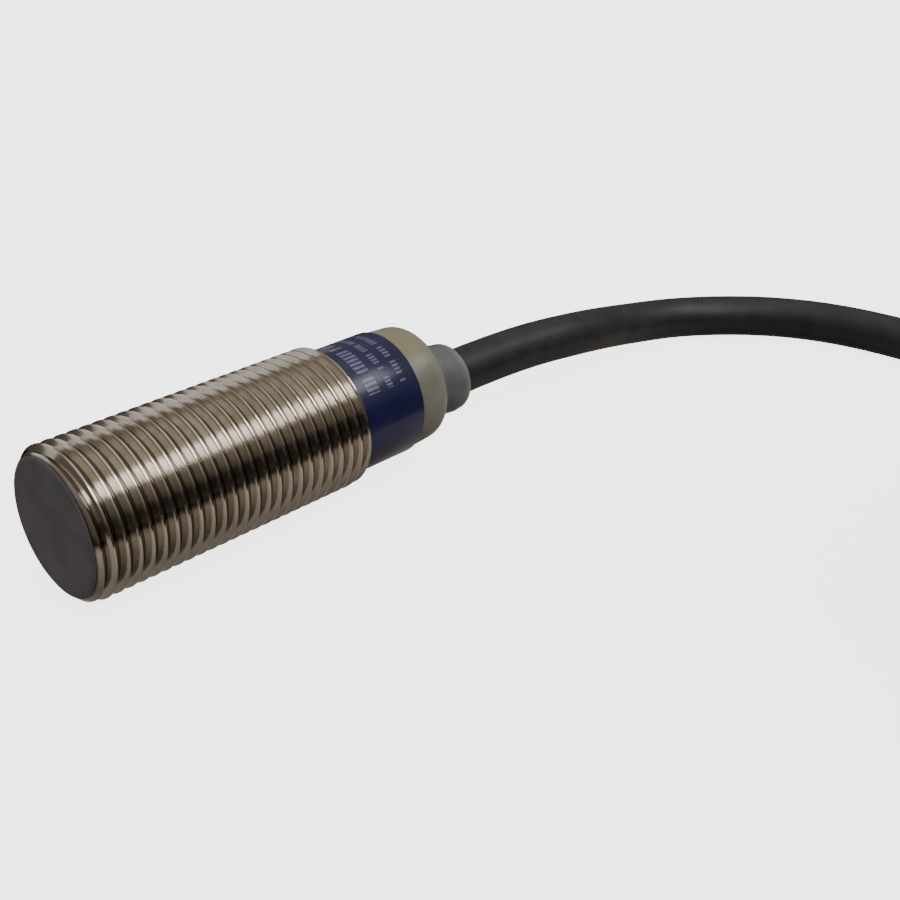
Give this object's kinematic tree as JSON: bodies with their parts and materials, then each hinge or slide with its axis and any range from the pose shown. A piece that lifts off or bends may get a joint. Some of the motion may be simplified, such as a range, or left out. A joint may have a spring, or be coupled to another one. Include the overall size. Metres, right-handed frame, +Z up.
{
  "type": "inductive proximity sensor",
  "caption": "Short M12 threaded-barrel inductive proximity sensor with flush sensing face, rear light cap and fixed black cable ending in bare leads.",
  "frame": {"origin": "middle of the sensor's length without its cable, on the surface the barrel lies on", "axes": "+X along the sensor's axis from the sensing face to the cable exit, +Z up from the surface, +Y completes the right-handed set"},
  "size_m": [0.0837, 0.0978, 0.0205],
  "materials": {
    "nickel_plated_brass": "nickel-plated, semi-gloss",
    "plain_brass": "plain turned",
    "dark_grey_face": "fine matt moulded",
    "navy_label": "glossy printed film",
    "translucent_cap": "milky translucent moulding",
    "ferrite": "sintered ferrite",
    "natural_bobbin": "natural moulding",
    "enamelled_copper": "enamelled copper wire",
    "copper_shield": "copper strip",
    "green_board": "solder-masked glass epoxy",
    "black_package": "moulded epoxy",
    "tan_ceramic": "fired ceramic",
    "yellow_led": "clear epoxy",
    "solder": "bright solder",
    "potting": "cast resin",
    "black_jacket": "extruded PVC jacket",
    "tie_plastic": "coated wire tie",
    "brown_insulation": "extruded PVC",
    "blue_insulation": "extruded PVC",
    "black_insulation": "extruded PVC",
    "tinned_copper": "tinned strands"
  },
  "bodies": {
    "root": {"threaded_barrel": "nickel_plated_brass", "crimp_ring": "plain_brass", "sensing_face_cap": "dark_grey_face", "type_label": "navy_label", "rear_light_cap": "translucent_cap", "ferrite_core": "ferrite", "coil_bobbin": "natural_bobbin", "coil_winding": "enamelled_copper", "coil_leads": "enamelled_copper", "shield_ring": "copper_shield", "circuit_board": "green_board", "oscillator_chip": "black_package", "output_transistor": "black_package", "protection_diodes": "black_package", "chip_capacitors": "tan_ceramic", "chip_resistors": "black_package", "status_leds": "yellow_led", "solder_joints": "solder", "potting_resin": "potting", "cable_end_in_cap": "black_jacket", "cable_run": "black_jacket", "cable_coil": "black_jacket", "cable_tail": "black_jacket", "coil_tie": "tie_plastic", "inner_conductor_brown": "brown_insulation", "inner_conductor_blue": "blue_insulation", "inner_conductor_black": "black_insulation", "free_lead_brown": "brown_insulation", "free_lead_blue": "blue_insulation", "free_lead_black": "black_insulation", "tinned_tip_brown": "tinned_copper", "tinned_tip_blue": "tinned_copper", "tinned_tip_black": "tinned_copper"}
  },
  "joints": []
}
